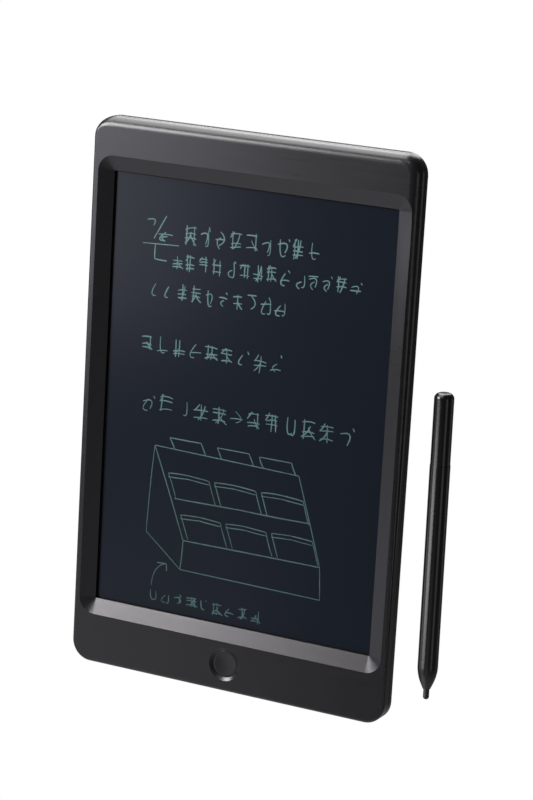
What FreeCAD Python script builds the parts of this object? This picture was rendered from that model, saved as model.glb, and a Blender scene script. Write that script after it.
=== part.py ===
"""Ten-inch liquid-crystal memo tablet with its separate stylus.

The tablet stands upright: +Z runs towards its top edge, X to its right and the screen faces -Y.
The origin is the middle of the flat rear face, so the whole case lies at y < 0. All sizes are millimetres.
"""
import FreeCAD, Part
import math
import os
from types import SimpleNamespace

import Sketcher

DRIVING = {
    # case outline and its moulded edges
    "case_w": 162.0, "case_h": 257.0, "case_t": 8.7, "corner_r": 9.5,
    "front_edge_r": 1.2, "top_edge_r": 4.8, "rear_edge_r": 0.6,
    "wall": 1.7, "top_wall": 3.0, "skin": 1.5, "rear_t": 3.3, "groove": 0.3, "groove_deep": 0.5,
    "tongue_t": 1.0, "tongue_high": 1.2, "slip": 0.1,
    # screen opening with its sloping bevel
    "side_margin": 2.9, "top_margin": 17.6, "base_margin": 23.4,
    "bevel_w": 7.05, "bevel_d": 2.9, "frame_t": 0.2, "frame_back": 1.2, "lip_t": 1.2, "opening_r": 0.6,
    # display stack, front to back
    "film_over": 2.5, "gasket_t": 0.2, "gasket_in": 0.3, "film_t": 0.25, "lcd_t": 0.4, "dark_t": 0.15,
    "plate_t": 1.0, "pad_w": 60.0, "pad_h": 12.0, "pad_x": 36.0, "pad_z": 62.0,
    # erase button
    "button_z": -115.7, "recess_r": 7.8, "recess_d": 0.95, "button_r": 6.2, "button_gap": 0.15,
    "flange_r": 7.4, "flange_t": 0.6, "flange_gap": 0.08, "dish_d": 0.35, "dish_r": 40.0, "stem_r": 2.0,
    "rim_round": 0.12,
    # control board and what is soldered to it
    "board_w": 64.0, "board_h": 17.0, "board_t": 1.0, "board_x": -2.0, "board_z": -114.8, "board_back": 3.4,
    "switch_w": 6.0, "switch_t": 1.1, "plunger_r": 1.5, "plunger_up": 0.4, "plunger_in": 0.45,
    "plunger_gap": 0.06, "switch_pit": 0.95, "lead_w": 0.6, "lead_l": 0.9, "lead_t": 0.2,
    "flex_w": 8.0, "flex_t": 0.15, "flex_x": -20.0, "flex_in": 1.2, "flex_step": 2.8, "socket_w": 12.0,
    "socket_h": 3.2, "socket_t": 1.1, "chip_w": 10.0, "chip_h": 6.5, "chip_t": 1.0, "chip_x": 17.0,
    "chip_z": -113.5,
    "leg_pitch": 1.2, "part_w": 1.8, "part_h": 1.1, "part_t": 0.8, "part_pitch": 3.2, "coil_w": 3.4,
    "coil_t": 1.1, "board_post_r": 2.5,
    # erase lock, on the rear
    "lock_x": -24.0, "lock_z": -113.3, "lock_travel": 2.0, "knob_w": 5.0, "knob_h": 3.4, "knob_gap": 0.2,
    "knob_sunk": 0.15, "ridge_w": 0.5, "ridge_h": 2.4, "ridge_pitch": 1.1, "ridge_sunk": 0.02,
    "lock_dish_w": 12.0, "lock_dish_h": 6.4, "lock_dish_d": 0.6, "lock_dish_r": 2.9,
    "shoe_w": 10.0, "shoe_h": 5.6, "shoe_t": 0.65, "shoe_gap": 0.05,
    "lock_body_w": 7.0, "lock_body_h": 3.2, "lock_body_t": 0.9, "lever_w": 1.2, "lever_up": 0.8,
    "lever_gap": 0.05, "lever_in": 0.25, "lever_slot": 1.4,
    # coin cell, its bay, contacts and door
    "cell_r": 10.0, "cell_t": 3.2, "cell_x": 50.0, "cell_z": -113.3, "cell_y": -1.25,
    "cell_lip": 0.7, "cell_shoulder": 0.8, "cell_step": 0.2,
    "bay_gap": 0.4, "bay_wall": 1.1, "bay_floor": 0.5, "spring_room": 0.5, "leaf_t": 0.25, "leaf_w": 4.0,
    "leaf_z": -108.8, "leaf_end": 53.0, "leaf_room": 0.4, "leaf_foot_w": 1.8, "touch_w": 6.0,
    "touch_gap": 0.03, "lead_x": 26.0, "clip_deep": 2.4, "clip_t": 0.3, "clip_gap": 0.05,
    "door_t": 1.2, "door_left": 37.5, "door_right": 69.5, "door_low": -124.6, "door_high": -102.0,
    "door_r": 2.0, "door_gap": 0.2, "door_lug_w": 6.0, "door_lug_l": 1.4, "door_ledge": 0.9,
    "door_screw_x": 65.8, "door_boss_r": 2.2, "door_boss_y": -2.5, "door_seat": 0.05, "door_screw_long": 3.1,
    "door_head_t": 1.0, "door_head_sunk": 0.15, "turn_gap": 0.05,
    # screws
    "screw_x": 62.0, "screw_top_z": 115.5, "screw_low_x": -66.0, "screw_low_z": -113.5, "screw_right_x": 75.0,
    "screw_r": 1.0, "screw_long": 4.9, "head_r": 1.8, "head_t": 1.2, "head_sunk": 0.35, "head_gap": 0.25,
    "thread_gap": 0.05, "boss_r": 2.9, "slot_w": 0.5, "slot_l": 2.2, "slot_d": 0.6,
    "board_screw_x": 29.0, "board_screw_z": -119.6, "board_screw_long": 2.2, "board_head_t": 0.9,
    # stylus, measured up from the writing point
    "stylus_x": 99.35, "stylus_y": -4.6, "stylus_z": -112.6, "stylus_tilt": 0.68,
    "nib_r": 1.35, "nib_out": 5.0, "nib_in": 12.0, "nib_round": 1.25, "nose_end_r": 1.75, "nose_long": 6.5,
    "nose_round": 20.0, "cone_long": 14.4, "stylus_r": 4.55, "barrel_long": 87.8, "bore_r": 2.9,
    "cap_r": 4.4, "cap_long": 32.2, "cap_round": 2.6, "seam_round": 0.14, "joint_round": 0.06,
    "spigot": 8.0, "fit_gap": 0.02,
}

doc = FreeCAD.newDocument("memo_tablet")
sheet = doc.addObject("Spreadsheet::Sheet", "Sizes")
for row, (name, number) in enumerate(DRIVING.items(), 1):
    sheet.set(f"A{row}", name)
    sheet.set(f"B{row}", str(number))
    sheet.setAlias(f"B{row}", name)
doc.recompute()


class Size:
    """A length with its present number and the sheet expression that drives it."""

    def __init__(self, number, text):
        self.number, self.text = number, text

    def __neg__(self):
        return Size(-self.number, f"(-{self.text})")

    def __add__(self, other):
        other = size_of(other)
        return Size(self.number + other.number, f"({self.text} + {other.text})")

    def __sub__(self, other):
        other = size_of(other)
        return Size(self.number - other.number, f"({self.text} - {other.text})")

    def __mul__(self, factor):
        return Size(self.number * factor, f"({self.text} * {factor})")

    def __truediv__(self, factor):
        return Size(self.number / factor, f"({self.text} / {factor})")


def size_of(value):
    return value if isinstance(value, Size) else Size(float(value), f"({float(value)})")


d = SimpleNamespace(**{name: Size(float(sheet.get(name)), f"Sizes.{name}") for name in DRIVING})
TO_FRONT = FreeCAD.Rotation(FreeCAD.Vector(1, 0, 0), 90)


def bind(thing, prop, value):
    thing.setExpression(prop, size_of(value).text)


def bind_place(thing, x, y, z):
    for axis, value in (("x", x), ("y", y), ("z", z)):
        bind(thing, f"Placement.Base.{axis}", value)


def slab(name, x, y, z):
    """A box between the low and high limits given along each axis."""
    box = doc.addObject("Part::Box", name)
    for prop, (low, high) in (("Length", x), ("Width", y), ("Height", z)):
        bind(box, prop, size_of(high) - low)
    bind_place(box, x[0], y[0], z[0])
    return box


def rod(name, x, z, y, radius):
    """A round bar along Y, from its rear end y[1] forward to y[0]."""
    bar = doc.addObject("Part::Cylinder", name)
    bar.Placement = FreeCAD.Placement(FreeCAD.Vector(), TO_FRONT)
    bind(bar, "Radius", radius)
    bind(bar, "Height", size_of(y[1]) - y[0])
    bind_place(bar, x, y[1], z)
    return bar


def fuse(name, *pieces):
    joined = doc.addObject("Part::MultiFuse", name)
    joined.Shapes = list(pieces)
    return joined


def cut(name, base, *tools):
    result = doc.addObject("Part::Cut", name)
    result.Base = base
    result.Tool = tools[0] if len(tools) == 1 else fuse(name + "_tools", *tools)
    return result


def fillet(name, base, wanted, radius_at):
    """Round the wanted edges of base; radius_at gives the radius at each end of an edge."""
    doc.recompute()
    rounded = doc.addObject("Part::Fillet", name)
    rounded.Base = base
    rounded.Edges = [(index, radius_at(edge.Vertexes[0]), radius_at(edge.Vertexes[-1]))
                     for index, edge in enumerate(base.Shape.Edges, 1) if wanted(edge)]
    return rounded


def along_y(edge):
    ends = edge.Vertexes
    return len(ends) == 2 and math.hypot(ends[0].X - ends[1].X, ends[0].Z - ends[1].Z) < 1e-6


def lies_at_y(level):
    def test(edge):
        return all(abs(corner.Y - level) < 1e-6 for corner in edge.Vertexes)
    return test


def plate(name, x, y, z, corner):
    """A flat slab in the XZ plane with rounded corners."""
    return fillet(name, slab(name + "_blank", x, y, z), along_y, lambda end: corner.number)


def turned(name, profile, rounds=()):
    """A solid of revolution about its own Z axis; profile is (radius, height) round the section."""
    body = doc.addObject("PartDesign::Body", name)
    plane = next(item for item in body.Origin.OriginFeatures if item.Role == "XZ_Plane")
    sketch = body.newObject("Sketcher::SketchObject", name + "_section")
    sketch.AttachmentSupport = [(plane, "")]
    sketch.MapMode = "FlatFace"
    section = [(size_of(radius), size_of(height)) for radius, height in profile]
    points = [FreeCAD.Vector(radius.number, height.number, 0) for radius, height in section]
    for index, point in enumerate(points):
        sketch.addGeometry(Part.LineSegment(point, points[(index + 1) % len(points)]), False)
    for index, (radius, height) in enumerate(section):
        sketch.addConstraint(Sketcher.Constraint("Coincident", index, 2, (index + 1) % len(points), 1))
        for kind, value, axis in (("DistanceX", radius, -2), ("DistanceY", height, -1)):
            if value.number == 0:
                sketch.addConstraint(Sketcher.Constraint("PointOnObject", index, 1, axis))
                continue
            row = sketch.addConstraint(Sketcher.Constraint(kind, -1, 1, index, 1, value.number))
            sketch.setExpression(f"Constraints[{row}]", value.text)
    turning = body.newObject("PartDesign::Revolution", name + "_turned")
    turning.Profile = sketch
    turning.ReferenceAxis = (sketch, ["V_Axis"])
    turning.Angle = 360
    for number, (height, radius, rounding) in enumerate(rounds, 1):
        round_rim(body, f"{name}_round{number}", height, radius, rounding)
    return body


def round_rim(body, name, height, radius, rounding):
    """Round the circular edge of a turned body at one height and radius."""
    doc.recompute()
    base = body.Tip
    rims = [f"Edge{index}" for index, edge in enumerate(base.Shape.Edges, 1)
            if isinstance(edge.Curve, Part.Circle) and abs(edge.Curve.Radius - radius.number) < 1e-6
            and abs(edge.Curve.Center.z - size_of(height).number) < 1e-6]
    rim = body.newObject("PartDesign::Fillet", name)
    rim.Base = (base, rims)
    bind(rim, "Radius", rounding)


# Levels through the thickness, and the limits of the screen opening.
front_y = -d.case_t
parting_y = -d.rear_t - d.groove
frame_y = front_y + d.bevel_d + d.frame_t
lip_y = front_y + d.bevel_d + d.lip_t
film_y = lip_y + d.gasket_t
lcd_y = film_y + d.film_t
dark_y = lcd_y + d.lcd_t
plate_y = dark_y + d.dark_t
pads_y = plate_y + d.plate_t
half_w, half_h = d.case_w / 2, d.case_h / 2
opening_x = half_w - d.side_margin - d.bevel_w
opening_low = -half_h + d.base_margin + d.bevel_w
opening_high = half_h - d.top_margin - d.bevel_w
board_front = -d.board_back - d.board_t
SCREWS = ((-d.screw_x, d.screw_top_z), (size_of(0), d.screw_top_z), (d.screw_x, d.screw_top_z),
          (d.screw_low_x, d.screw_low_z), (d.screw_right_x, d.screw_low_z))


def case_plate(name, y, inset, top_inset, corner):
    """A slab of the case's outline, drawn in by an inset."""
    x = (-half_w + inset, half_w - inset)
    return plate(name, x, y, (-half_h + inset, half_h - top_inset), corner)


def opening_slab(name, y, grow):
    x = (-opening_x - grow, opening_x + grow)
    return slab(name, x, y, (opening_low - grow, opening_high + grow))


def make_front_housing():
    """Front shell: rolled top edge, bevelled screen frame, button recess and screw posts."""
    blank = case_plate("front_blank", (front_y, parting_y), size_of(0), size_of(0), d.corner_r)
    top = half_h.number

    def rim_radius(end):
        return d.top_edge_r.number if end.Z > top - 1e-6 else d.front_edge_r.number

    shell = fillet("front_rolled", blank, lies_at_y(front_y.number), rim_radius)
    hollow = case_plate("front_hollow", (front_y + d.wall, parting_y + d.wall), d.wall, d.top_wall,
                        d.corner_r - d.wall)
    frame = opening_slab("screen_frame", (front_y + d.wall - d.slip, frame_y), d.bevel_w + d.frame_back)
    lip = opening_slab("screen_lip", (frame_y - d.slip, lip_y), d.film_over + d.gasket_in)
    posts = [rod(f"front_post{number}", *place, (front_y + d.wall - d.slip, parting_y - d.slip), d.boss_r)
             for number, place in enumerate(SCREWS, 1)]
    solid = fuse("front_solid", cut("front_shell", shell, hollow), frame, lip, *posts)
    window = opening_slab("screen_window", (front_y - d.wall, lip_y + d.wall), size_of(0))
    window = fillet("screen_window_round", window, along_y, lambda end: d.opening_r.number)
    framed = cut("front_framed", solid, window)
    doc.recompute()
    bevel = doc.addObject("Part::Chamfer", "screen_bevel")
    bevel.Base = framed
    inside = [index for index, edge in enumerate(framed.Shape.Edges, 1)
              if lies_at_y(front_y.number)(edge) and is_window_rim(edge)]
    bevel.Edges = [(index, d.bevel_d.number, d.bevel_w.number) for index in inside]
    holes = [rod(f"front_pilot{number}", *place, (front_y + d.wall + d.slip, parting_y + d.wall),
                 d.screw_r + d.thread_gap) for number, place in enumerate(SCREWS, 1)]
    recess = doc.addObject("Part::Cone", "button_recess")
    recess.Placement = FreeCAD.Placement(FreeCAD.Vector(), TO_FRONT)
    bind(recess, "Radius1", d.button_r + d.button_gap)
    bind(recess, "Radius2", d.recess_r)
    bind(recess, "Height", d.recess_d)
    bind_place(recess, 0, front_y + d.recess_d, d.button_z)
    well = rod("button_hole", 0, d.button_z, (front_y + d.recess_d - d.slip, front_y + d.wall * 2),
               d.button_r + d.button_gap)
    return cut("front_housing", bevel, recess, well, *holes)


def is_window_rim(edge):
    """True for an edge of the screen window, well inside the case's outline."""
    reach = opening_x.number + 1
    return all(abs(corner.X) < reach and opening_low.number - 1 < corner.Z < opening_high.number + 1
               for corner in edge.Vertexes)


def make_rear_housing():
    """Rear shell: tongue for the front shell, screw wells, battery bay, lock slot and door recess."""
    blank = case_plate("rear_blank", (-d.rear_t, size_of(0)), size_of(0), size_of(0), d.corner_r)
    shell = fillet("rear_rounded", blank, lies_at_y(0), lambda end: d.rear_edge_r.number)
    inner = d.wall + d.slip
    top_inner = d.top_wall + d.slip
    neck = case_plate("rear_neck", (parting_y, -d.skin), d.groove_deep, d.groove_deep,
                      d.corner_r - d.groove_deep)
    tongue = case_plate("rear_tongue", (parting_y - d.tongue_high, -d.skin), inner, top_inner,
                        d.corner_r - inner)
    hollow = case_plate("rear_hollow", (front_y, -d.skin), inner + d.tongue_t, top_inner + d.tongue_t,
                        d.corner_r - inner - d.tongue_t)
    tray = cut("rear_tray", fuse("rear_outer", shell, neck, tongue), hollow)
    inside = -d.skin + d.slip
    posts = [rod(f"rear_post{number}", *place, (parting_y, inside), d.boss_r + d.slip)
             for number, place in enumerate(SCREWS, 1)]
    posts += [rod(f"board_post{side}", d.board_x + d.board_screw_x * side, d.board_screw_z,
                  (-d.board_back, inside), d.board_post_r) for side in (-1, 1)]
    bay_r = d.cell_r + d.bay_gap
    cell_front = d.cell_y - d.cell_t
    floor_y = cell_front - d.spring_room
    posts.append(rod("bay_wall", d.cell_x, d.cell_z, (floor_y - d.bay_floor, inside), bay_r + d.bay_wall))
    posts.append(rod("door_post", d.door_screw_x, d.cell_z, (floor_y, inside), d.door_boss_r + d.bay_wall))
    posts.append(slab("door_ledge", (d.door_left - d.door_ledge, d.door_right + d.door_ledge),
                      (-d.door_t - d.door_ledge, inside), (d.door_low, d.door_high)))
    solid = fuse("rear_solid", tray, *posts)
    holes = []
    for number, place in enumerate(SCREWS, 1):
        holes.append(rod(f"rear_screw_hole{number}", *place, (parting_y - d.wall, d.skin),
                         d.screw_r + d.head_gap))
        holes.append(rod(f"rear_head_well{number}", *place, (-d.head_sunk - d.head_t, d.skin),
                         d.head_r + d.head_gap))
    holes += [rod(f"board_pilot{side}", d.board_x + d.board_screw_x * side, d.board_screw_z,
                  (-d.board_back - d.slip, -d.skin), d.screw_r + d.thread_gap) for side in (-1, 1)]
    holes.append(rod("bay_bore", d.cell_x, d.cell_z, (floor_y, d.skin), bay_r))
    holes.append(rod("door_screw_hole", d.door_screw_x, d.cell_z, (floor_y + d.bay_floor, d.skin),
                     d.screw_r + d.turn_gap))
    holes.append(rod("door_boss_hole", d.door_screw_x, d.cell_z, (d.door_boss_y - d.slip, d.skin),
                     d.door_boss_r + d.door_gap))
    holes.append(plate("door_recess", (d.door_left, d.door_right), (-d.door_t, d.skin),
                       (d.door_low, d.door_high), d.door_r))
    holes.append(slab("door_lug_notch", (d.door_left - d.door_lug_l, d.door_left + d.slip),
                      (-d.door_t, d.skin), middle(d.cell_z, d.door_lug_w + d.door_gap * 2)))
    holes.append(slab("leaf_slot", (d.cell_x - bay_r - d.bay_wall, d.cell_x), (floor_y, cell_front),
                      middle(d.leaf_z, d.leaf_w + d.leaf_room)))
    holes.append(slab("clip_slot", (d.cell_x - bay_r - d.bay_wall, d.cell_x - d.cell_r),
                      (floor_y, -d.skin), middle(d.cell_z, d.leaf_w + d.leaf_room)))
    holes.append(plate("lock_dish", middle(d.lock_x + d.lock_travel / 2, d.lock_dish_w),
                       (-d.lock_dish_d, d.skin), middle(d.lock_z, d.lock_dish_h), d.lock_dish_r))
    holes.append(slab("lock_slot", (d.lock_x - d.knob_w / 2 - d.knob_gap,
                                    d.lock_x + d.knob_w / 2 + d.lock_travel + d.knob_gap),
                      (-d.skin * 2, d.skin), middle(d.lock_z, d.knob_h + d.knob_gap)))
    return cut("rear_housing", solid, *holes)


def middle(centre, wide):
    """The two limits of a width set about its centre."""
    return (size_of(centre) - wide / 2, size_of(centre) + wide / 2)


def film_plate(name, front, thick):
    """One layer of the display stack, reaching under the frame all round."""
    over = d.film_over
    return slab(name, (-opening_x - over, opening_x + over), (front, front + thick),
                (opening_low - over, opening_high + over))


def make_display():
    """Bonding frame, clear writing film, crystal layer, dark film, stiffening plate and foam pads."""
    gasket = cut("bonding_frame", film_plate("bonding_blank", lip_y, d.gasket_t),
                 opening_slab("bonding_window", (front_y, size_of(0)), d.gasket_in))
    pads = doc.addObject("Part::Compound", "foam_pads")
    pads.Links = [slab(f"foam_pad{number}", middle(d.pad_x * x_side, d.pad_w), (pads_y, -d.skin),
                       middle(d.pad_z * z_side, d.pad_h))
                  for number, (x_side, z_side) in enumerate(((-1, -1), (1, -1), (-1, 1), (1, 1)), 1)]
    return [gasket, film_plate("writing_film", film_y, d.film_t), film_plate("lcd_layer", lcd_y, d.lcd_t),
            film_plate("dark_film", dark_y, d.dark_t), film_plate("backing_plate", plate_y, d.plate_t), pads]


def switch_top():
    return board_front - d.switch_t


def stand(body, x, y, z):
    """Turn a body made about Z so that its Z points to the front, and place it."""
    body.Placement = FreeCAD.Placement(FreeCAD.Vector(), TO_FRONT)
    bind_place(body, x, y, z)


def make_erase_button():
    """Round dished cap, with the flange that keeps it in and the stem that works the switch."""
    face = front_y + d.recess_d
    neck = front_y + d.wall + d.flange_gap - face
    stem_end = switch_top() - d.plunger_up - d.plunger_gap - face
    profile = ((0, 0), (d.button_r, 0), (d.button_r, -neck), (d.flange_r, -neck),
               (d.flange_r, -neck - d.flange_t), (d.stem_r, -neck - d.flange_t), (d.stem_r, -stem_end),
               (0, -stem_end))
    cap = turned("button_blank", profile, ((0, d.button_r, d.rim_round),))
    stand(cap, 0, face, d.button_z)
    dish = doc.addObject("Part::Sphere", "button_dish")
    bind(dish, "Radius", d.dish_r)
    bind_place(dish, 0, face + d.dish_d - d.dish_r, d.button_z)
    return cut("erase_button", cap, dish)


def make_erase_switch():
    """Low push switch under the button, and the plunger that slides in its pit."""
    top = switch_top()
    case = slab("switch_case", middle(0, d.switch_w), (top, board_front), middle(d.button_z, d.switch_w))
    pit = rod("switch_pit", 0, d.button_z, (top - d.slip, top + d.switch_pit), d.plunger_r + d.turn_gap)
    leads = [slab(f"switch_lead{side}{row}", middle(d.switch_w / 2 * side, d.lead_l * 2),
                  (board_front - d.lead_t, board_front), middle(d.button_z + d.switch_w / 3 * row, d.lead_w))
             for side in (-1, 1) for row in (-1, 1)]
    plunger = turned("switch_plunger", ((0, 0), (d.plunger_r, 0), (d.plunger_r, d.plunger_in + d.plunger_up),
                                        (0, d.plunger_in + d.plunger_up)))
    stand(plunger, 0, top + d.plunger_in, d.button_z)
    return [cut("erase_switch", fuse("switch_body", case, *leads), pit), plunger]


def make_board():
    """Control board with its cable socket, driver chip, small parts and two screws."""
    blank = slab("board_blank", middle(d.board_x, d.board_w), (board_front, -d.board_back),
                 middle(d.board_z, d.board_h))
    screw_places = [d.board_x + d.board_screw_x * side for side in (-1, 1)]
    holes = [rod(f"board_hole{number}", x, d.board_screw_z, (board_front - d.skin, size_of(0)),
                 d.screw_r + d.head_gap) for number, x in enumerate(screw_places, 1)]
    board = cut("control_board", blank, *holes)
    screws = doc.addObject("Part::Compound", "board_screws")
    screws.Links = [screw(f"board_screw{number}", x, d.board_screw_z, board_front, -d.board_head_t,
                          d.board_screw_long) for number, x in enumerate(screw_places, 1)]
    film_end = opening_low - d.film_over
    board_top = d.board_z + d.board_h / 2
    flex_x = middle(d.flex_x, d.flex_w)
    tab_y = lcd_y + d.slip
    tail_y = board_front - d.socket_t / 2
    step_z = film_end - d.flex_step
    bend_top = step_z + d.flex_t
    flex = fuse("display_flex", slab("flex_tab", flex_x, (tab_y, tab_y + d.flex_t), (step_z, film_end)),
                slab("flex_bend", flex_x, (tail_y, tab_y + d.flex_t), (step_z, bend_top)),
                slab("flex_tail", flex_x, (tail_y, tail_y + d.flex_t), (board_top - d.flex_in, bend_top)))
    socket = cut("flex_socket",
                 slab("socket_case", middle(d.flex_x, d.socket_w), (board_front - d.socket_t, board_front),
                      (board_top - d.socket_h, board_top)),
                 slab("socket_slot", middle(d.flex_x, d.flex_w + d.slip),
                      (tail_y - d.slip / 2, tail_y + d.flex_t + d.slip / 2),
                      (board_top - d.flex_in - d.slip, board_top + d.skin)))
    chip_case = slab("chip_case", middle(d.chip_x, d.chip_w), (board_front - d.chip_t, board_front),
                     middle(d.chip_z, d.chip_h))
    legs = [slab(f"chip_leg{number}", middle(d.chip_x + d.leg_pitch * number, d.lead_w),
                 (board_front - d.lead_t, board_front), middle(d.chip_z, d.chip_h + d.lead_l * 2))
            for number in range(-3, 4)]
    chip = fuse("driver_chip", chip_case, *legs)
    row_z = d.board_z - d.board_h / 2 + d.part_h * 2
    loose = [slab(f"capacitor{number}", middle(d.part_pitch * (number + 2), d.part_w),
                  (board_front - d.part_t, board_front), middle(row_z, d.part_h)) for number in range(5)]
    loose.append(rod("coil", -d.part_pitch * 4, row_z, (board_front - d.coil_t, board_front), d.coil_w / 2))
    parts = doc.addObject("Part::Compound", "board_components")
    parts.Links = loose
    return [board, screws, flex, socket, chip, parts]


def screw(name, x, z, seat_y, head_t, long):
    """Cross-head screw; a negative head_t turns it round, so that the head faces the front."""
    to_rear = head_t.number > 0
    head = (seat_y, seat_y + head_t) if to_rear else (seat_y + head_t, seat_y)
    shank = (seat_y - long, seat_y) if to_rear else (seat_y, seat_y + long)
    blank = fuse(name + "_blank", rod(name + "_head", x, z, head, d.head_r),
                 rod(name + "_shank", x, z, shank, d.screw_r))
    cross_y = (head[1] - d.slot_d, head[1] + d.slip) if to_rear else (head[0] - d.slip, head[0] + d.slot_d)
    return cut(name, blank, slab(name + "_slot_x", middle(x, d.slot_l), cross_y, middle(z, d.slot_w)),
               slab(name + "_slot_z", middle(x, d.slot_w), cross_y, middle(z, d.slot_l)))


def make_case_screws():
    """Five self-tapping screws that hold the two shells together, sunk in the rear shell."""
    group = doc.addObject("Part::Compound", "case_screws")
    group.Links = [screw(f"case_screw{number}", *place, -d.head_sunk - d.head_t, d.head_t, d.screw_long)
                   for number, place in enumerate(SCREWS, 1)]
    return group


def make_lock():
    """Erase lock: finger slider in the rear shell, and the slide switch that its shoe drives."""
    knob_x = middle(d.lock_x, d.knob_w)
    knob_y = (-d.skin - d.shoe_gap - d.slip, -d.knob_sunk)
    shoe_y = (-d.skin - d.shoe_gap - d.shoe_t, -d.skin - d.shoe_gap)
    ridges = [slab(f"knob_ridge{number}", middle(d.lock_x + d.ridge_pitch * number, d.ridge_w),
                   (-d.skin, -d.ridge_sunk), middle(d.lock_z, d.ridge_h)) for number in (-1, 0, 1)]
    body_top = -d.board_back + d.lock_body_t
    slider = cut("lock_slider",
                 fuse("slider_blank", slab("slider_knob", knob_x, knob_y, middle(d.lock_z, d.knob_h)),
                      slab("slider_shoe", middle(d.lock_x, d.shoe_w), shoe_y, middle(d.lock_z, d.shoe_h)),
                      *ridges),
                 slab("slider_slot", middle(d.lock_x, d.lever_slot),
                      (shoe_y[0] - d.slip, body_top + d.lever_up + d.slip / 2),
                      middle(d.lock_z, d.lever_slot)))
    lever_y = (body_top - d.lever_in, body_top + d.lever_up)
    lever = slab("lock_switch_lever", middle(d.lock_x, d.lever_w), lever_y, middle(d.lock_z, d.lever_w))
    track = (d.lock_x - d.lever_w / 2 - d.lever_gap, d.lock_x + d.lever_w / 2 + d.lock_travel + d.lever_gap)
    case = cut("lock_switch",
               slab("lock_case", middle(d.lock_x + d.lock_travel / 2, d.lock_body_w),
                    (-d.board_back, body_top), middle(d.lock_z, d.lock_body_h)),
               slab("lock_track", track, (lever_y[0] - d.slip, body_top + d.slip),
                    middle(d.lock_z, d.lever_w + d.lever_gap * 2)))
    return [slider, lever, case]


def make_battery():
    """Coin cell, the leaf under it and the clip at its rim, and the door with its own screw."""
    can_top = d.cell_t - d.cell_step
    can = ((0, 0), (d.cell_r, 0), (d.cell_r, d.cell_t - d.cell_shoulder), (d.cell_r - d.cell_lip, can_top),
           (0, can_top))
    can_body = turned("cell_can", can, ((0, d.cell_r, d.rim_round),))
    stand(can_body, d.cell_x, d.cell_y, d.cell_z)
    cell_front = d.cell_y - d.cell_t
    cap_y = (cell_front, cell_front + d.cell_step * 2)
    cell = fuse("coin_cell", can_body, rod("cell_cap", d.cell_x, d.cell_z, cap_y, d.cell_r - d.cell_lip * 2))
    leaf_y = cell_front - d.spring_room
    leaf_z = middle(d.leaf_z, d.leaf_w)
    leaf = fuse("battery_leaf",
                slab("leaf_strip", (d.lead_x, d.leaf_end), (leaf_y, leaf_y + d.leaf_t), leaf_z),
                slab("leaf_foot", (d.lead_x, d.lead_x + d.leaf_foot_w), (leaf_y, board_front), leaf_z),
                slab("leaf_touch", middle(d.cell_x, d.touch_w), (leaf_y, cell_front - d.touch_gap), leaf_z))
    rim = d.cell_x - d.cell_r - d.clip_gap
    clip_y = board_front - d.clip_t
    clip_z = middle(d.cell_z, d.leaf_w)
    clip = fuse("battery_clip", slab("clip_strip", (d.lead_x, rim), (clip_y, board_front), clip_z),
                slab("clip_touch", (rim - d.clip_t, rim), (clip_y, board_front + d.clip_deep), clip_z))
    return [cell, leaf, clip]


def make_battery_door():
    """Flush door over the coin cell, with a locating lug, a boss for its screw and a thumb groove."""
    lid = plate("door_plate", (d.door_left + d.door_gap, d.door_right - d.door_gap),
                (-d.door_t + d.door_seat, size_of(0)), (d.door_low + d.door_gap, d.door_high - d.door_gap),
                d.door_r - d.door_gap)
    lug = slab("door_lug", (d.door_left + d.door_gap - d.door_lug_l, d.door_left + d.door_gap * 2),
               (-d.door_t + d.door_seat, size_of(0)), middle(d.cell_z, d.door_lug_w))
    boss = rod("door_boss", d.door_screw_x, d.cell_z, (d.door_boss_y, -d.door_t / 2), d.door_boss_r)
    head_y = -d.door_head_sunk - d.door_head_t
    well = rod("door_head_well", d.door_screw_x, d.cell_z, (head_y, d.skin), d.head_r + d.turn_gap)
    bore = rod("door_screw_bore", d.door_screw_x, d.cell_z, (d.door_boss_y - d.slip, size_of(0)),
               d.screw_r + d.turn_gap)
    door = cut("battery_door", fuse("door_blank", lid, lug, boss), well, bore)
    fastener = screw("battery_door_screw", d.door_screw_x, d.cell_z, head_y, d.door_head_t, d.door_screw_long)
    return [door, fastener]


def make_stylus():
    """Writing stylus: nib pressed into the nose, nose and cap plugged into the barrel's bore."""
    nose_start = d.nib_out
    barrel_start = nose_start + d.cone_long
    cap_start = barrel_start + d.barrel_long
    end = cap_start + d.cap_long
    stem_end = nose_start + d.nib_in
    nib = turned("stylus_nib", ((0, 0), (d.nib_r, 0), (d.nib_r, stem_end), (0, stem_end)),
                 ((0, d.nib_r, d.nib_round),))
    nib_bore = d.nib_r + d.fit_gap
    plug = d.bore_r - d.fit_gap
    nose = turned("stylus_nose", ((nib_bore, nose_start), (d.nose_end_r, nose_start),
                                  (d.stylus_r, nose_start + d.nose_long), (d.stylus_r, barrel_start),
                                  (plug, barrel_start), (plug, barrel_start + d.spigot),
                                  (nib_bore, barrel_start + d.spigot)),
                  ((nose_start + d.nose_long, d.stylus_r, d.nose_round),))
    barrel = turned("stylus_barrel", ((d.bore_r, barrel_start), (d.stylus_r, barrel_start),
                                      (d.stylus_r, cap_start), (d.bore_r, cap_start)),
                    ((cap_start, d.stylus_r, d.seam_round), (barrel_start, d.stylus_r, d.joint_round)))
    cap = turned("stylus_cap", ((0, cap_start - d.spigot), (plug, cap_start - d.spigot), (plug, cap_start),
                                (d.cap_r, cap_start), (d.cap_r, end), (0, end)),
                 ((end, d.cap_r, d.cap_round),))
    pieces = [nib, nose, barrel, cap]
    for piece in pieces:
        lean = FreeCAD.Rotation(FreeCAD.Vector(0, -1, 0), d.stylus_tilt.number)
        piece.Placement = FreeCAD.Placement(FreeCAD.Vector(), lean)
        bind_place(piece, d.stylus_x, d.stylus_y, d.stylus_z)
    return pieces


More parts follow.
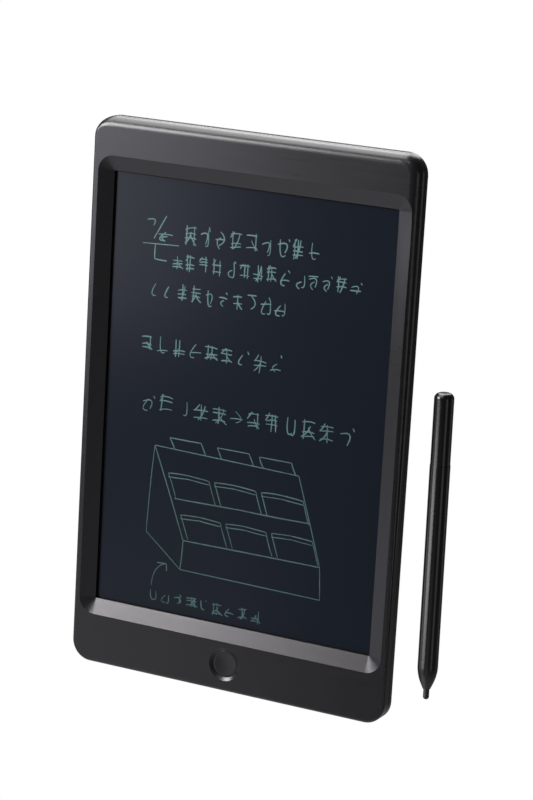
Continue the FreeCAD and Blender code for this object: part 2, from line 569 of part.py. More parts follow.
def check(pieces):
    """Stop if any object failed, or if a piece has no sound solid."""
    failed = [item.Name for item in doc.Objects if "Invalid" in item.State or "Error" in item.State]
    failed += [piece.Name for piece in pieces if piece.Shape.isNull() or not piece.Shape.isValid()
               or not piece.Shape.Solids]
    if failed:
        raise RuntimeError(f"these did not build: {failed}")


def build():
    pieces = [make_front_housing(), make_rear_housing(), *make_display(), make_erase_button(),
              *make_erase_switch(), *make_board(), make_case_screws(), *make_lock(), *make_battery(),
              *make_battery_door(), *make_stylus()]
    doc.recompute()
    check(pieces)
    os.makedirs("parts", exist_ok=True)
    for piece in pieces:
        piece.Label = piece.Name
        piece.Shape.exportStep(f"parts/{piece.Label}.step")
        print(piece.Label, len(piece.Shape.Solids), round(piece.Shape.Volume, 1))


build()
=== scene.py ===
"""Liquid-crystal memo tablet with its stylus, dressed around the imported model.

The tablet stands upright with its screen towards -Y and its rear face at y = 0; all lengths are metres.
The sections follow the order in which the object is put together, shells first and stylus last.
"""
import math

import bpy
import numpy as np
from mathutils import Matrix, Vector


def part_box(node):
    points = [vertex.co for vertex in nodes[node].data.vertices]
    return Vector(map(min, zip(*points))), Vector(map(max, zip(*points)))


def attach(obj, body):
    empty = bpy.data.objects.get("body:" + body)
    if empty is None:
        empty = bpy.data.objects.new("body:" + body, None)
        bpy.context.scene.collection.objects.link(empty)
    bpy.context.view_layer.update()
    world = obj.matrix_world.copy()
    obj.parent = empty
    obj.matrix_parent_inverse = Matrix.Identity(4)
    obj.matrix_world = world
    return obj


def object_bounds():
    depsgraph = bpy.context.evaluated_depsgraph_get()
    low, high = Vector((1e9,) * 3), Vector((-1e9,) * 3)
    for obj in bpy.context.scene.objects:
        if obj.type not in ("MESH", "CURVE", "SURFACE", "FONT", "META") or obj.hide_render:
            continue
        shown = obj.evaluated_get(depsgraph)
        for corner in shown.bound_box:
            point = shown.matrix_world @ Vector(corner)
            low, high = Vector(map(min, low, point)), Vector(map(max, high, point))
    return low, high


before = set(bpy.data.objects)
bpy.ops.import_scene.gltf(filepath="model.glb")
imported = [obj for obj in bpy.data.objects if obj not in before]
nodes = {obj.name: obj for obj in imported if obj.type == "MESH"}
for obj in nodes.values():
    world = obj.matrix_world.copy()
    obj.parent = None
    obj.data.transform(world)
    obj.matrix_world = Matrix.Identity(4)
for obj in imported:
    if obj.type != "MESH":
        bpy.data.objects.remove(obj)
cad_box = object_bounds()

# ---------------------------------------------------------------------------------------------------------
# Front and rear shells and the battery door: injection-moulded black ABS, snapped and screwed together.
# Their skin is a fine spark-eroded satin that shows every light softly; handling polishes the outer rim.

MM = 0.001


def add_node(tree, kind, inputs=None, **settings):
    """A shader node of one kind, its settings by name and its inputs by socket name or number."""
    node = tree.nodes.new(kind)
    for name, value in settings.items():
        setattr(node, name, value)
    for name, value in (inputs or {}).items():
        if isinstance(value, bpy.types.NodeSocket):
            tree.links.new(value, node.inputs[name])
        else:
            node.inputs[name].default_value = value
    return node


def new_group(name, inputs, outputs):
    """An empty shader group; inputs are (name, socket type, value) and outputs (name, socket type)."""
    tree = bpy.data.node_groups.new(name, "ShaderNodeTree")
    for label, kind, value in inputs:
        socket = tree.interface.new_socket(label, in_out="INPUT", socket_type=kind)
        if value is not None:
            socket.default_value = value
    for label, kind in outputs:
        tree.interface.new_socket(label, in_out="OUTPUT", socket_type=kind)
    return tree, tree.nodes.new("NodeGroupInput").outputs, tree.nodes.new("NodeGroupOutput").inputs


def reckon(tree, operation, first, second=0.0, clamp=False):
    """The result of one Math node, whose operands are numbers or sockets."""
    node = add_node(tree, "ShaderNodeMath", {0: first, 1: second}, operation=operation, use_clamp=clamp)
    return node.outputs[0]


def blend_colours(tree, factor, first, second):
    """Colour first where factor is 0 and second where it is 1."""
    node = add_node(tree, "ShaderNodeMix", data_type="RGBA")
    for name, value in (("Factor", factor), ("A", first), ("B", second)):
        kind = "VALUE" if name == "Factor" else "RGBA"
        socket = next(s for s in node.inputs if s.name == name and s.type == kind)
        if isinstance(value, bpy.types.NodeSocket):
            tree.links.new(value, socket)
        else:
            socket.default_value = value
    return next(s for s in node.outputs if s.type == "RGBA")


def object_space(tree):
    return add_node(tree, "ShaderNodeTexCoord").outputs["Object"]


def make_moulded_skin():
    """Moulded plastic: fine grain in Height, cloudy and streaked Roughness, a little dust in Color.

    Height is noise at the grain's scale. Roughness is its base plus slow noise times Cloudiness, plus noise
    drawn out along X times Drag. Color turns to grey where a second fine noise passes a threshold.
    """
    tree, given, result = new_group(
        "moulded_skin",
        [("Vector", "NodeSocketVector", None), ("Color", "NodeSocketColor", (0.01, 0.01, 0.01, 1)),
         ("Roughness", "NodeSocketFloat", 0.35), ("Grain per metre", "NodeSocketFloat", 3000.0),
         ("Cloudiness", "NodeSocketFloat", 0.05), ("Drag", "NodeSocketFloat", 0.0)],
        [("Color", "NodeSocketColor"), ("Roughness", "NodeSocketFloat"), ("Height", "NodeSocketFloat")])
    place = given["Vector"]
    grain = add_node(tree, "ShaderNodeTexNoise", {"Vector": place, "Scale": given["Grain per metre"],
                                                  "Detail": 2.0, "Roughness": 0.6})
    cloud = add_node(tree, "ShaderNodeTexNoise", {"Vector": place, "Scale": 35.0, "Detail": 3.0})
    drawn = add_node(tree, "ShaderNodeMapping", {"Vector": place, "Scale": (30.0, 400.0, 900.0)})
    streak = add_node(tree, "ShaderNodeTexNoise", {"Vector": drawn.outputs[0], "Scale": 1.0, "Detail": 3.0})
    uneven = given["Roughness"]
    for texture, amount in ((cloud, given["Cloudiness"]), (streak, given["Drag"])):
        centred = reckon(tree, "SUBTRACT", texture.outputs[0], 0.5)
        uneven = reckon(tree, "ADD", uneven, reckon(tree, "MULTIPLY", centred, amount), clamp=True)
    tree.links.new(uneven, result["Roughness"])
    speck = add_node(tree, "ShaderNodeTexNoise", {"Vector": place, "Scale": 900.0, "Detail": 1.0})
    dust = reckon(tree, "MULTIPLY", reckon(tree, "SUBTRACT", speck.outputs[0], 0.74, clamp=True), 0.5)
    tree.links.new(blend_colours(tree, dust, given["Color"], (0.25, 0.25, 0.25, 1)), result["Color"])
    tree.links.new(grain.outputs[0], result["Height"])
    return tree


moulded_skin = make_moulded_skin()


def make_rim_polish():
    """1 within Reach of a rectangle's outline in the XZ plane, broken up by slow noise, and 0 inside it.

    The distance inside the outline is the smaller of half width - |x| and half height - |z|.
    """
    tree, given, result = new_group(
        "rim_polish",
        [("Vector", "NodeSocketVector", None), ("Half width", "NodeSocketFloat", 0.08),
         ("Half height", "NodeSocketFloat", 0.13), ("Reach", "NodeSocketFloat", 0.002)],
        [("Mask", "NodeSocketFloat")])
    parts = add_node(tree, "ShaderNodeSeparateXYZ", {0: given["Vector"]}).outputs
    gaps = [reckon(tree, "SUBTRACT", given[half], reckon(tree, "ABSOLUTE", parts[axis]))
            for axis, half in (("X", "Half width"), ("Z", "Half height"))]
    near = reckon(tree, "DIVIDE", reckon(tree, "MINIMUM", *gaps), given["Reach"])
    rub = add_node(tree, "ShaderNodeTexNoise", {"Vector": given["Vector"], "Scale": 120.0, "Detail": 3.0})
    ragged = reckon(tree, "ADD", near, reckon(tree, "MULTIPLY", rub.outputs[0], 1.2))
    faded = add_node(tree, "ShaderNodeMapRange", {"Value": ragged, "From Min": 0.7, "From Max": 1.7,
                                                  "To Min": 1.0, "To Max": 0.0})
    tree.links.new(faded.outputs[0], result["Mask"])
    return tree


rim_polish = make_rim_polish()


def plain_shader(name, **sockets):
    """A new material; each keyword is set on its shader's own socket, underscores standing for spaces."""
    material = bpy.data.materials.new(name)
    material.use_nodes = True
    shader = material.node_tree.nodes["Principled BSDF"]
    for socket, value in sockets.items():
        shader.inputs[socket.replace("_", " ")].default_value = value
    return material, material.node_tree, shader


def add_skin(tree, shader, colour, roughness, grain=3000.0, depth=0.004 * MM, cloudiness=0.05, drag=0.0):
    """Feed a shader from the skin group; colour and roughness are values or sockets."""
    skin = add_node(tree, "ShaderNodeGroup",
                    {"Vector": object_space(tree), "Color": colour, "Roughness": roughness,
                     "Grain per metre": grain, "Cloudiness": cloudiness, "Drag": drag}, node_tree=moulded_skin)
    bump = add_node(tree, "ShaderNodeBump", {"Height": skin.outputs["Height"], "Distance": depth})
    tree.links.new(skin.outputs["Color"], shader.inputs["Base Color"])
    tree.links.new(skin.outputs["Roughness"], shader.inputs["Roughness"])
    tree.links.new(bump.outputs[0], shader.inputs["Normal"])


def finish_nodes(material, *names):
    """Give carried CAD nodes their material."""
    for name in names:
        nodes[name].data.materials.clear()
        nodes[name].data.materials.append(material)


SHELL_BLACK = (0.006, 0.006, 0.0066)
SHELL_RUBBED = (0.011, 0.011, 0.012)
SHELL_ROUGH = 0.3
RUBBED_SMOOTHER = 0.06
RIM_REACH = 2.2 * MM
case_low, case_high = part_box("front_housing")


def shell_material():
    """Satin ABS whose rim is rubbed a little paler and smoother."""
    material, tree, shader = plain_shader("shell_plastic", IOR=1.5)
    rim = add_node(tree, "ShaderNodeGroup",
                   {"Vector": object_space(tree), "Half width": case_high.x, "Half height": case_high.z,
                    "Reach": RIM_REACH}, node_tree=rim_polish)
    colour = blend_colours(tree, rim.outputs[0], (*SHELL_BLACK, 1), (*SHELL_RUBBED, 1))
    rough = reckon(tree, "SUBTRACT", SHELL_ROUGH, reckon(tree, "MULTIPLY", rim.outputs[0], RUBBED_SMOOTHER))
    add_skin(tree, shader, colour, rough, cloudiness=0.06, drag=0.1)
    return material


finish_nodes(shell_material(), "front_housing", "rear_housing", "battery_door")

# ---------------------------------------------------------------------------------------------------------
# Writing film: clear polyester over the liquid crystal, looked at against the dark film behind it.
# A hard coat keeps it satin; it is stuck to the back of the frame's lip, its edge in black print and hidden,
# but for a narrow black band past the lip that is painted shade along the lip's edge.

FILM_DARK = (0.0076, 0.0098, 0.0165)
FILM_DARKER = (0.006, 0.0092, 0.0122)
FILM_ROUGH = 0.21
BORDER_AND_SHADE_BLACK = (0.002, 0.002, 0.0022)
BORDER_ROUGHER = 0.5
BORDER_SHADE_SHOWN = 0.5 * MM
FILM_UNDER_LIP = 2.5 * MM
film_low, film_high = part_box("writing_film")


def film_material():
    """Satin hard coat: the skin group's finest grain, over a dark blue that is cloudy in large patches.

    The black print of the border is where |x| or |z| from the film's middle passes the edge of the lip's
    opening; the narrow band of it that shows past the lip is painted shade.
    """
    material, tree, shader = plain_shader("writing_film_surface", Specular_IOR_Level=0.15)
    space = object_space(tree)
    patches = add_node(tree, "ShaderNodeTexNoise", {"Vector": space, "Scale": 14.0, "Detail": 2.0})
    tone = blend_colours(tree, patches.outputs[0], (*FILM_DARK, 1), (*FILM_DARKER, 1))
    middle = tuple((film_low + film_high) / -2)
    centred = add_node(tree, "ShaderNodeMapping", {"Vector": space, "Location": middle})
    # Painted shade: the border's black shows a little past the lip as a dark line along the lip's edge.
    reach = FILM_UNDER_LIP + BORDER_SHADE_SHOWN
    outline = [reckon(tree, "ABSOLUTE", part) for part in
               add_node(tree, "ShaderNodeSeparateXYZ", {0: centred.outputs[0]}).outputs]
    past = [reckon(tree, "GREATER_THAN", outline[axis], (film_high - film_low)[axis] / 2 - reach)
            for axis in (0, 2)]
    printed_border_and_shade = reckon(tree, "MAXIMUM", *past)
    rough = reckon(tree, "ADD", reckon(tree, "MULTIPLY", printed_border_and_shade, BORDER_ROUGHER), FILM_ROUGH)
    add_skin(tree, shader, blend_colours(tree, printed_border_and_shade, tone, (*BORDER_AND_SHADE_BLACK, 1)), rough, grain=9000.0,
             depth=0.001 * MM, cloudiness=0.03, drag=0.012)
    return material


finish_nodes(film_material(), "writing_film")

# ---------------------------------------------------------------------------------------------------------
# Written notes and a sketch: pressure turns the liquid crystal clear green along each stroke of the stylus.
# They are invented marks with no meaning, laid as thin crowned lines on the film's face.

PEN_WIDE = 0.56 * MM
SKETCH_WIDE = 0.5 * MM
PEN_THICK = 0.03 * MM
CLEAR_OF_FILM = 0.004 * MM
STEPS = 14
pen = np.random.default_rng(21)


def bend_strokes(points):
    """Each stroke's curve: its start, bend and end weighted by (1-t)^2, 2t(1-t) and t^2 for t from 0 to 1.

    The points come as n strokes x 3 x 2 and go out as n x STEPS x 2.
    """
    t = np.linspace(0.0, 1.0, STEPS)[None, :, None]
    start, bend, end = (points[:, k, None, :] for k in range(3))
    return (1 - t) ** 2 * start + 2 * t * (1 - t) * bend + t ** 2 * end


def lay_lines(name, curves, wide):
    """One mesh of thin crowned lines along n curves of STEPS points on the film.

    A line's section is a flat triangle: two edges half a width to either side of the curve, and a crown
    PEN_THICK proud. The width swells from the pen's touch and thins as it lifts.
    """
    count = len(curves)
    along = np.gradient(curves, axis=1)
    along /= np.linalg.norm(along, axis=2, keepdims=True) + 1e-12
    across = np.stack((-along[..., 1], along[..., 0]), axis=2)
    t = np.linspace(0.0, 1.0, STEPS)[None, :, None]
    pressure = pen.uniform(0.75, 1.2, (count, 1, 1))
    half = wide / 2 * pressure * (0.5 + 0.5 * np.sqrt(np.clip(np.sin(np.pi * (0.08 + 0.84 * t)), 0, 1)))
    corners = np.zeros((count, STEPS, 3, 3))
    for k, (side, rise) in enumerate(((-1, 0), (0, 1), (1, 0))):
        flat = curves + side * half * across
        corners[:, :, k, 0], corners[:, :, k, 2] = flat[..., 0], flat[..., 1]
        corners[:, :, k, 1] = film_low.y - CLEAR_OF_FILM - rise * PEN_THICK
    number = np.arange(count * STEPS * 3).reshape(count, STEPS, 3)
    sides = [np.stack((number[:, :-1, k], number[:, 1:, k], number[:, 1:, (k + 1) % 3],
                       number[:, :-1, (k + 1) % 3]), axis=-1).reshape(-1, 4) for k in range(3)]
    ends = [number[:, 0, :].reshape(-1, 3), number[:, -1, ::-1].reshape(-1, 3)]
    mesh = bpy.data.meshes.new(name)
    faces = np.concatenate(sides).tolist() + np.concatenate(ends).tolist()
    mesh.from_pydata(corners.reshape(-1, 3).tolist(), [], faces)
    piece = bpy.data.objects.new(name, mesh)
    bpy.context.scene.collection.objects.link(piece)
    return piece


# Strokes of an invented hand, each a start, bend and end in a unit square. WOBBLE is a share of the square
# and BOW is in millimetres.
BARS = [((0.05, z), (0.5, z + 0.07), (0.95, z + 0.03)) for z in (0.14, 0.36, 0.6, 0.84)]
POSTS = [((x, 1.0), (x + 0.03, 0.5), (x - 0.02, 0.0)) for x in (0.2, 0.5, 0.8)]
SWEEPS = [((0.55, 0.7), (0.45, 0.3), (0.02, 0.05)), ((0.5, 0.55), (0.66, 0.25), (1.02, 0.06)),
          ((0.35, 1.0), (0.25, 0.8), (0.02, 0.6)), ((0.78, 0.95), (0.72, 0.4), (0.3, 0.02))]
HOOKS = [((0.3, 0.95), (0.2, -0.15), (0.7, 0.12)), ((0.85, 0.95), (1.0, -0.1), (0.6, 0.1)),
         ((0.1, 0.62), (1.1, 1.0), (0.62, 0.2)), ((0.62, 0.5), (-0.05, 0.3), (0.5, 0.02)),
         ((0.5, 0.8), (-0.25, 0.0), (0.45, 0.1)), ((0.45, 0.1), (1.25, 0.35), (0.5, 0.8))]
TICKS = [((0.74, 1.02), (0.8, 0.95), (0.86, 0.86)), ((0.9, 1.04), (0.95, 0.97), (1.0, 0.88))]
WOBBLE = 0.03
BOW = 0.25


def invent_mark(dense):
    """One mark of a few strokes drawn by lot, mostly bars and posts when dense and hooks when light."""
    if dense:
        kinds = ((BARS, 2, 3), (POSTS, 1, 2), (SWEEPS, 1, 2))
    else:
        kinds = ((BARS, 0, 1), (HOOKS, 1, 2), (TICKS, 0, 1))
    strokes = np.array([kind[k] for kind, fewest, most in kinds
                        for k in pen.permutation(len(kind))[:pen.integers(fewest, most + 1)]])
    return strokes + pen.normal(0.0, WOBBLE, strokes.shape)


def write_row(start, end, middle, tall, marks):
    """Strokes of a row of marks between two places along X, about a middle height; all in millimetres."""
    pitch = (end - start) / marks
    row = []
    for number in range(marks):
        size = np.array((pitch * pen.uniform(0.66, 0.84), tall * pen.uniform(0.74, 1.0)))
        corner = np.array((start + pitch * (number + 0.08),
                           middle - size[1] / 2 + pen.normal(0, tall * 0.05)))
        row.append(invent_mark(pen.random() < 0.5) * size + corner)
    return row


def pull(*places):
    """A run of hand-drawn lines from place to place, each with a slight bow."""
    ends = np.array(places, float)
    middles = (ends[:-1] + ends[1:]) / 2 + pen.normal(0, BOW, (len(ends) - 1, 2))
    return np.stack((ends[:-1], middles, ends[1:]), axis=1)


# The start, end, middle height, mark height and number of marks of each written row.
ROWS = ((-35.0, 35.0, 79.6, 9.8, 9), (-40.5, 55.5, 66.2, 8.0, 14), (-51.0, 19.5, 52.1, 8.4, 10),
        (-54.5, 20.0, 27.0, 8.2, 9), (-53.0, 56.5, -0.7, 9.6, 12), (-44.5, 16.0, -91.4, 5.8, 9))
notes = [stroke for row in ROWS for stroke in write_row(*row)]
notes.append(invent_mark(False) * (5.5, 5.5) + (-54.0, 79.8))
notes.append(invent_mark(False) * (8.0, 5.5) + (-48.0, 74.3))
notes.append(pull((-43.8, 86.2), (-49.9, 75.2)))
notes.append(pull((-55.5, 72.5), (-36.8, 73.4)))
notes.append(pull((-49.0, 72.6), (-49.1, 66.0), (-42.7, 65.7)))

# The sketch: an open display rack of pockets, three across and two down, with cards standing on top.
RACK = np.array(((-44.1, -20.2), (30.0, -22.2), (43.1, -62.4), (-27.0, -62.6)))
RACK_FOOT = ((-46.5, -61.7), (-27.9, -76.6), (44.1, -77.5))


def on_rack(u, v):
    """A place on the rack's sloping face, weighted between its corners: u across, v down, each 0 to 1."""
    return (1 - v) * ((1 - u) * RACK[0] + u * RACK[1]) + v * ((1 - u) * RACK[3] + u * RACK[2])


rack = [pull(*RACK, RACK[0]), pull(RACK[0], *RACK_FOOT, RACK[2]), pull(RACK[3], RACK_FOOT[1]),
        pull(on_rack(0.03, 0.55), on_rack(0.5, 0.53), on_rack(1.0, 0.52))]
for top, base in ((0.28, 0.54), (0.72, 0.98)):
    for left in (0.04, 0.37, 0.70):
        right = left + 0.29
        lip = (on_rack(left, top), on_rack((left + right) / 2, top - 0.015), on_rack(right, top))
        rack.append(pull(on_rack(left, base), *lip, on_rack(right, base)))
        rack.append(pull(*[place + (0, -1.7) for place in lip]))
for left in (0.14, 0.47, 0.76):
    rack.append(pull(on_rack(left, 0.0), on_rack(left - 0.01, -0.12), on_rack(left + 0.21, -0.13),
                     on_rack(left + 0.22, 0.0)))
rack.append(np.array([((-42.5, -86.7), (-42.0, -77.2), (-35.7, -75.4))]))
rack.append(pull((-40.0, -75.4), (-35.1, -75.2), (-34.8, -78.6)))

written_notes = lay_lines("written_notes", bend_strokes(np.concatenate(notes) * MM), PEN_WIDE)
sketched_rack = lay_lines("sketched_rack", bend_strokes(np.concatenate(rack) * MM), SKETCH_WIDE)

# Heights between which painted light brightens the strokes towards the top of the page.
PAGE_FOOT, PAGE_HEAD = -120.0 * MM, 90.0 * MM


def step_up(tree, value, low, high):
    """0 below low, 1 above high and a smooth rise between."""
    return add_node(tree, "ShaderNodeMapRange", {"Value": value, "From Min": low, "From Max": high},
                    interpolation_type="SMOOTHSTEP").outputs[0]


def line_material(name, full, faint):
    """Turned crystal: pale green, with painted light brightening it at the top of the page and fading it lower
    down; fainter also where the pen skimmed.
    """
    material, tree, shader = plain_shader(name, Roughness=0.45, IOR=1.4)
    space = object_space(tree)
    height = add_node(tree, "ShaderNodeSeparateXYZ", {0: space}).outputs["Z"]
    page = step_up(tree, height, PAGE_FOOT, PAGE_HEAD)
    skim = add_node(tree, "ShaderNodeTexNoise", {"Vector": space, "Scale": 260.0, "Detail": 2.0})
    # Painted light: the strokes are brighter towards the top of the page and fainter lower down; noise adds
    # the pen's skimming.
    painted_light_fade = reckon(tree, "SUBTRACT", reckon(tree, "MULTIPLY", page, 0.75), 0.3)
    pressure_and_painted_light = reckon(tree, "ADD", painted_light_fade, skim.outputs[0], clamp=True)
    tree.links.new(blend_colours(tree, pressure_and_painted_light, (*faint, 1), (*full, 1)), shader.inputs["Base Color"])
    return material


for piece, full, faint in ((written_notes, (0.078, 0.168, 0.155), (0.02, 0.046, 0.046)),
                           (sketched_rack, (0.062, 0.135, 0.122), (0.026, 0.058, 0.054))):
    piece.data.materials.append(line_material(piece.name + "_surface", full, faint))
    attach(piece, "case")

# ---------------------------------------------------------------------------------------------------------
# Display stack behind the film: bonding frame, crystal layer, dark film, stiffening plate and foam pads.
# Laid up as flat layers and taped; the plate is rolled aluminium and the pads are closed-cell foam.


def make_rolled_metal():
    """Sheet or turned metal: fine lines in Height and Roughness drawn out along one axis, stained Color.

    The lines are noise on coordinates squeezed by Squeeze, so they run along the axis squeezed least.
    """
    tree, given, result = new_group(
        "rolled_metal",
        [("Vector", "NodeSocketVector", None), ("Color", "NodeSocketColor", (0.6, 0.6, 0.6, 1)),
         ("Stain", "NodeSocketColor", (0.4, 0.4, 0.4, 1)), ("Roughness", "NodeSocketFloat", 0.3),
         ("Squeeze", "NodeSocketVector", (60.0, 6000.0, 6000.0))],
        [("Color", "NodeSocketColor"), ("Roughness", "NodeSocketFloat"), ("Height", "NodeSocketFloat")])
    drawn = add_node(tree, "ShaderNodeVectorMath", {0: given["Vector"], 1: given["Squeeze"]},
                     operation="MULTIPLY")
    lines = add_node(tree, "ShaderNodeTexNoise", {"Vector": drawn.outputs[0], "Scale": 1.0, "Detail": 3.0})
    stain = add_node(tree, "ShaderNodeTexNoise", {"Vector": given["Vector"], "Scale": 220.0, "Detail": 4.0})
    rough = reckon(tree, "MULTIPLY", reckon(tree, "SUBTRACT", lines.outputs[0], 0.5), 0.25)
    tree.links.new(reckon(tree, "ADD", given["Roughness"], rough, clamp=True), result["Roughness"])
    spread = step_up(tree, stain.outputs[0], 0.45, 0.75)
    tree.links.new(blend_colours(tree, spread, given["Color"], given["Stain"]), result["Color"])
    tree.links.new(lines.outputs[0], result["Height"])
    return tree


rolled_metal = make_rolled_metal()


def metal(name, colour, stain, roughness, squeeze=(60.0, 6000.0, 6000.0), space=object_space):
    """Bare or plated metal; space may give the group other coordinates than the object's own."""
    material, tree, shader = plain_shader(name, Metallic=1.0)
    group = add_node(tree, "ShaderNodeGroup",
                     {"Vector": space(tree), "Color": (*colour, 1), "Stain": (*stain, 1),
                      "Roughness": roughness, "Squeeze": squeeze}, node_tree=rolled_metal)
    bump = add_node(tree, "ShaderNodeBump", {"Height": group.outputs["Height"], "Distance": 0.003 * MM})
    tree.links.new(group.outputs["Color"], shader.inputs["Base Color"])
    tree.links.new(group.outputs["Roughness"], shader.inputs["Roughness"])
    tree.links.new(bump.outputs[0], shader.inputs["Normal"])
    return material


def moulded_plastic(name, colour, roughness, grain=3000.0, depth=0.004 * MM, **sockets):
    """Moulded plastic or plastic film in one colour, with the skin group's grain."""
    material, tree, shader = plain_shader(name, **sockets)
    add_skin(tree, shader, (*colour, 1), roughness, grain, depth)
    return material


def foam_material():
    """Closed-cell foam: cells from a Voronoi pattern sunk into the surface, with painted shade darkening their
    hollows.
    """
    material, tree, shader = plain_shader("foam_cells", Roughness=0.92)
    cells = add_node(tree, "ShaderNodeTexVoronoi", {"Vector": object_space(tree), "Scale": 2600.0})
    # Painted shade: the cells' hollows are darker than their rims.
    tone = blend_colours(tree, cells.outputs["Distance"], (0.03, 0.03, 0.032, 1), (0.085, 0.085, 0.09, 1))
    bump = add_node(tree, "ShaderNodeBump", {"Height": cells.outputs["Distance"], "Distance": 0.08 * MM})
    tree.links.new(tone, shader.inputs["Base Color"])
    tree.links.new(bump.outputs[0], shader.inputs["Normal"])
    return material


tape = moulded_plastic("black_tape", (0.012, 0.012, 0.012), 0.75, grain=2500.0, depth=0.02 * MM)
crystal = moulded_plastic("crystal_laminate", (0.012, 0.032, 0.034), 0.2, grain=8000.0, depth=0.001 * MM)
dark_sheet = moulded_plastic("absorbing_film", (0.004, 0.004, 0.0045), 0.6, grain=6000.0)
finish_nodes(tape, "bonding_frame")
finish_nodes(crystal, "lcd_layer")
finish_nodes(dark_sheet, "dark_film")
finish_nodes(metal("rolled_aluminium", (0.72, 0.73, 0.75), (0.6, 0.61, 0.64), 0.34), "backing_plate")
finish_nodes(foam_material(), "foam_pads")

# ---------------------------------------------------------------------------------------------------------
# Erase button: one round dished cap of the shell's ABS, free in its well, with a finer skin than the shell.
# The push switch under it is black nylon with an orange plunger and four tinned leads.

NYLON_BLACK = (0.012, 0.012, 0.013)
TIN = (0.62, 0.62, 0.6)
TIN_ROUGH = 0.25
button_plastic = moulded_plastic("button_plastic", (0.007, 0.007, 0.0078), 0.33, grain=5000.0,
                                 depth=0.003 * MM, IOR=1.5)
finish_nodes(button_plastic, "erase_button")


def tinned_beyond(name, colour, roughness, axis, centre, half):
    """A moulded part that is bare tinned metal further than half from centre along an axis, as leads are."""
    material, tree, shader = plain_shader(name)
    place = add_node(tree, "ShaderNodeSeparateXYZ", {0: object_space(tree)}).outputs[axis]
    away = reckon(tree, "ABSOLUTE", reckon(tree, "SUBTRACT", place, centre))
    lead = reckon(tree, "GREATER_THAN", away, half)
    tone = blend_colours(tree, lead, (*colour, 1), (*TIN, 1))
    rough = reckon(tree, "SUBTRACT", roughness, reckon(tree, "MULTIPLY", lead, roughness - TIN_ROUGH))
    add_skin(tree, shader, tone, rough, grain=4000.0)
    tree.links.new(lead, shader.inputs["Metallic"])
    return material


SWITCH_HALF = 3.0 * MM
finish_nodes(tinned_beyond("switch_nylon", NYLON_BLACK, 0.45, "X", 0.0, SWITCH_HALF), "erase_switch")
finish_nodes(moulded_plastic("plunger_nylon", (0.62, 0.11, 0.035), 0.4), "switch_plunger")

# ---------------------------------------------------------------------------------------------------------
# Control board: green glass-epoxy with copper tracks under the mask and tinned vias, held by two screws.
# It carries the driver chip, five small capacitors, a coil and the ivory socket of the amber display cable.

BOARD_GREEN = (0.01, 0.085, 0.032)
TRACK_GREEN = (0.03, 0.16, 0.06)
PART_PITCH = 3.2 * MM
CERAMIC_HALF = 0.55 * MM
CHIP_HALF = 3.25 * MM
chip_low, chip_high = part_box("driver_chip")


def board_material():
    """Solder mask over a net of tracks (edges of a brick pattern) with vias at Voronoi cell centres."""
    material, tree, shader = plain_shader("printed_board", IOR=1.5)
    space = object_space(tree)
    flat = add_node(tree, "ShaderNodeVectorRotate", {"Vector": space, "Angle": math.radians(90)},
                    rotation_type="X_AXIS")
    tracks = add_node(tree, "ShaderNodeTexBrick",
                      {"Vector": flat.outputs[0], "Scale": 1.0, "Mortar Size": 0.14 * MM,
                       "Brick Width": 5.2 * MM, "Row Height": 0.9 * MM})
    holes = add_node(tree, "ShaderNodeTexVoronoi", {"Vector": space, "Scale": 420.0})
    via = reckon(tree, "LESS_THAN", holes.outputs["Distance"], 0.16)
    mask = blend_colours(tree, tracks.outputs["Fac"], (*BOARD_GREEN, 1), (*TRACK_GREEN, 1))
    add_skin(tree, shader, blend_colours(tree, via, mask, (*TIN, 1)), 0.3, grain=3000.0)
    tree.links.new(via, shader.inputs["Metallic"])
    return material


def capacitor_material():
    """Fired ceramic with tinned ends, repeated along X at the parts' pitch; the coil, left of it, is dark.

    The distance to the nearest part's centre is the ping-pong of x over half the pitch.
    """
    material, tree, shader = plain_shader("small_parts")
    place = add_node(tree, "ShaderNodeSeparateXYZ", {0: object_space(tree)}).outputs["X"]
    away = reckon(tree, "PINGPONG", place, PART_PITCH / 2)
    right = reckon(tree, "GREATER_THAN", place, 0.0)
    end = reckon(tree, "MULTIPLY", reckon(tree, "GREATER_THAN", away, CERAMIC_HALF), right)
    body = blend_colours(tree, right, (0.03, 0.03, 0.032, 1), (0.42, 0.27, 0.14, 1))
    add_skin(tree, shader, blend_colours(tree, end, body, (*TIN, 1)), 0.45, grain=5000.0)
    tree.links.new(end, shader.inputs["Metallic"])
    return material


def cable_material():
    """Amber polyimide over flat copper conductors, which show as darker stripes side by side along X."""
    material, tree, shader = plain_shader("amber_cable", Coat_Weight=0.3, IOR=1.6)
    stripes = add_node(tree, "ShaderNodeTexWave", {"Vector": object_space(tree), "Scale": 320.0},
                       wave_type="BANDS", bands_direction="X")
    tone = blend_colours(tree, step_up(tree, stripes.outputs[1], 0.35, 0.55), (0.5, 0.2, 0.035, 1),
                         (0.3, 0.095, 0.02, 1))
    add_skin(tree, shader, tone, 0.25, grain=6000.0, depth=0.001 * MM)
    return material


finish_nodes(board_material(), "control_board")
finish_nodes(tinned_beyond("chip_epoxy", (0.014, 0.014, 0.015), 0.6, "Z", (chip_low.z + chip_high.z) / 2,
                           CHIP_HALF), "driver_chip")
finish_nodes(capacitor_material(), "board_components")
finish_nodes(moulded_plastic("ivory_nylon", (0.6, 0.56, 0.44), 0.42), "flex_socket")
finish_nodes(cable_material(), "display_flex")

# ---------------------------------------------------------------------------------------------------------
# Screws: cross-head self-tappers of zinc-plated steel, five through the case, two on the board, one in the
# battery door. The heads are turned, so their fine lines run round them.

zinc = metal("zinc_plate", (0.58, 0.58, 0.57), (0.47, 0.46, 0.42), 0.32, squeeze=(900.0, 900.0, 5000.0))
finish_nodes(zinc, "case_screws", "board_screws", "battery_door_screw")

